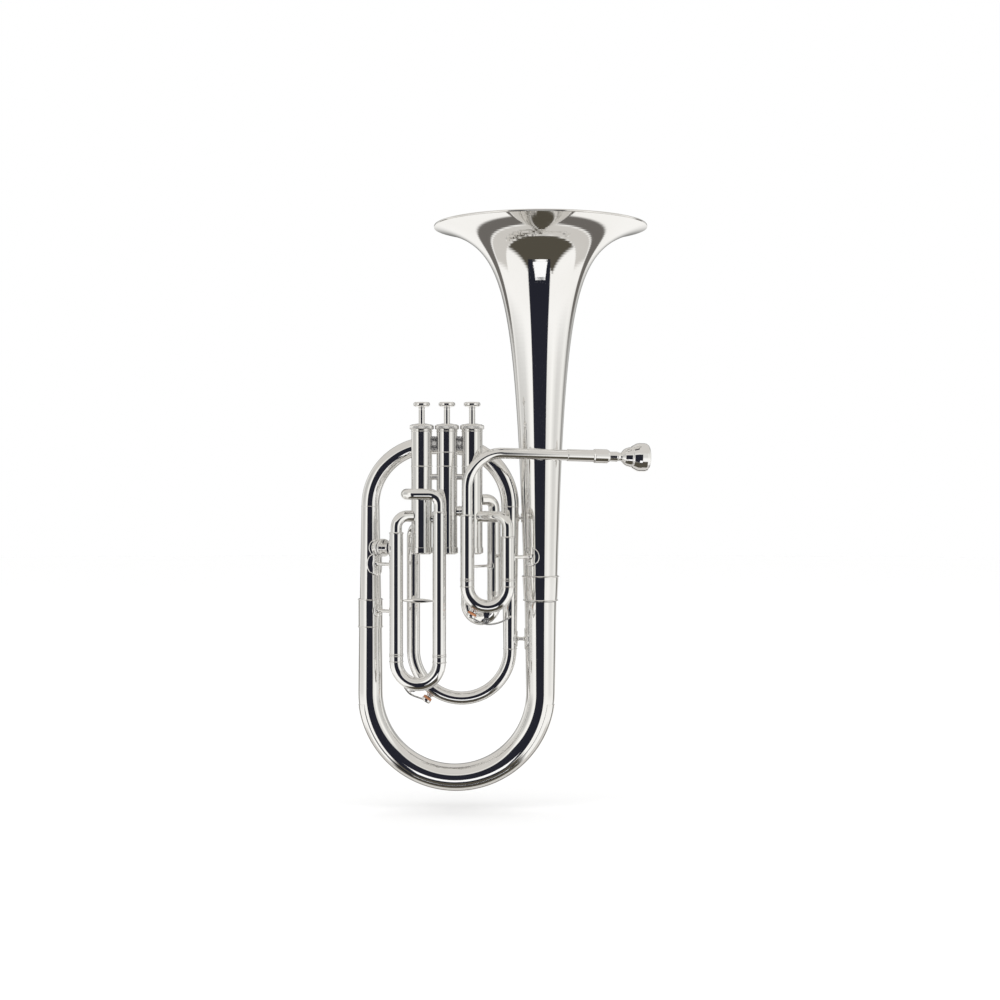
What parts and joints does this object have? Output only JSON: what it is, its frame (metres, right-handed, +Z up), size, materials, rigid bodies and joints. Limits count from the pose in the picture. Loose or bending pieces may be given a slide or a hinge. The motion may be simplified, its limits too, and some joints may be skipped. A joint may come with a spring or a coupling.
{
  "type": "baritone horn",
  "caption": "Upright baritone horn in silver plate: flared bell, looped conical tubing, piston valves with springs, pull-out slides, water keys and a removable mouthpiece.",
  "frame": {"origin": "lowest point of the bottom bow's guard, on the bow's centre line", "axes": "+Z up along the bell's axis towards its mouth, +X from the outer branch towards the mouthpiece, +Y away from the side that carries the slides"},
  "size_m": [0.317, 0.231, 0.6135],
  "materials": {
    "silver": "bright silver plate on brass, polished to a mirror",
    "piston": "fine lapped nickel alloy",
    "steel": "drawn and turned steel",
    "felt": "dense wool felt",
    "cork": "fine-grained cork, slightly darkened"
  },
  "bodies": {
    "horn": {"bell": "silver", "bell_rim": "silver", "bell_ferrule": "silver", "bottom_bow": "silver", "bow_guard": "silver", "branch_ferrule": "silver", "outer_branch": "silver", "top_bow": "silver", "inner_branch": "silver", "inner_bow": "silver", "valve_casing_1": "silver", "valve_casing_2": "silver", "valve_casing_3": "silver", "top_caps": "silver", "cap_felts": "felt", "bottom_caps": "silver", "piston_guides": "steel", "casing_plates": "silver", "plate_screws": "steel", "valve_knuckles": "silver", "leadpipe": "silver", "mouthpiece_receiver": "silver", "leadpipe_brace": "silver", "tuning_outer_tubes": "silver", "tuning_port_tube": "silver", "first_outer_tubes": "silver", "first_port_tubes": "silver", "second_outer_tubes": "silver", "third_outer_tubes": "silver", "third_port_tubes": "silver", "bell_braces": "silver", "branch_braces": "silver", "slide_braces": "silver", "key_2_saddle": "silver", "key_2_pivot": "steel", "key_2_spring": "steel"},
    "mouthpiece": {"mouthpiece": "silver"},
    "tuning_slide": {"tuning_crook": "silver", "key_1_saddle": "silver", "key_1_pivot": "steel", "key_1_spring": "steel"},
    "first_slide": {"first_crook": "silver"},
    "second_slide": {"second_crook": "silver"},
    "third_slide": {"third_crook": "silver"},
    "valve_1": {"piston_1": "piston", "stem_1": "silver", "button_1": "silver", "spring_1": "steel"},
    "valve_2": {"piston_2": "piston", "stem_2": "silver", "button_2": "silver", "spring_2": "steel"},
    "valve_3": {"piston_3": "piston", "stem_3": "silver", "button_3": "silver", "spring_3": "steel"},
    "key_1": {"key_1_lever": "silver", "key_1_cork": "cork"},
    "key_2": {"key_2_lever": "silver", "key_2_cork": "cork"}
  },
  "joints": [
    {"name": "valve_1_press", "type": "slide", "parent": "horn", "child": "valve_1", "axis": [0, 0, -1], "range_m": [0, 0.0165], "stiffness_N_per_m": 120, "springref_m": -0.02, "deforming": ["spring_1"]},
    {"name": "valve_2_press", "type": "slide", "parent": "horn", "child": "valve_2", "axis": [0, 0, -1], "range_m": [0, 0.0165], "stiffness_N_per_m": 120, "springref_m": -0.02, "deforming": ["spring_2"]},
    {"name": "valve_3_press", "type": "slide", "parent": "horn", "child": "valve_3", "axis": [0, 0, -1], "range_m": [0, 0.0165], "stiffness_N_per_m": 120, "springref_m": -0.02, "deforming": ["spring_3"]},
    {"name": "mouthpiece_pull", "type": "slide", "parent": "horn", "child": "mouthpiece", "axis": [0.976, 0.2164, -0.0244], "range_m": [0, 0.02]},
    {"name": "tuning_pull", "type": "slide", "parent": "horn", "child": "tuning_slide", "axis": [0, 0, -1], "range_m": [0, 0.035]},
    {"name": "first_pull", "type": "slide", "parent": "horn", "child": "first_slide", "axis": [0, 0, -1], "range_m": [0, 0.03]},
    {"name": "second_pull", "type": "slide", "parent": "horn", "child": "second_slide", "axis": [0, 1, 0], "range_m": [0, 0.012]},
    {"name": "third_pull", "type": "slide", "parent": "horn", "child": "third_slide", "axis": [0, 0, -1], "range_m": [0, 0.09]},
    {"name": "key_1_lift", "type": "hinge", "parent": "tuning_slide", "child": "key_1", "pos_m": [0.03388, -0.0485, 0.18827], "axis": [0, -1, 0], "range_deg": [0, 20], "stiffness_Nm_per_rad": 0.02, "springref_deg": -34.38},
    {"name": "key_2_lift", "type": "hinge", "parent": "horn", "child": "key_2", "pos_m": [-0.04535, 0, 0.11119], "axis": [0, 1, 0], "range_deg": [0, 20], "stiffness_Nm_per_rad": 0.02, "springref_deg": -34.38}
  ]
}
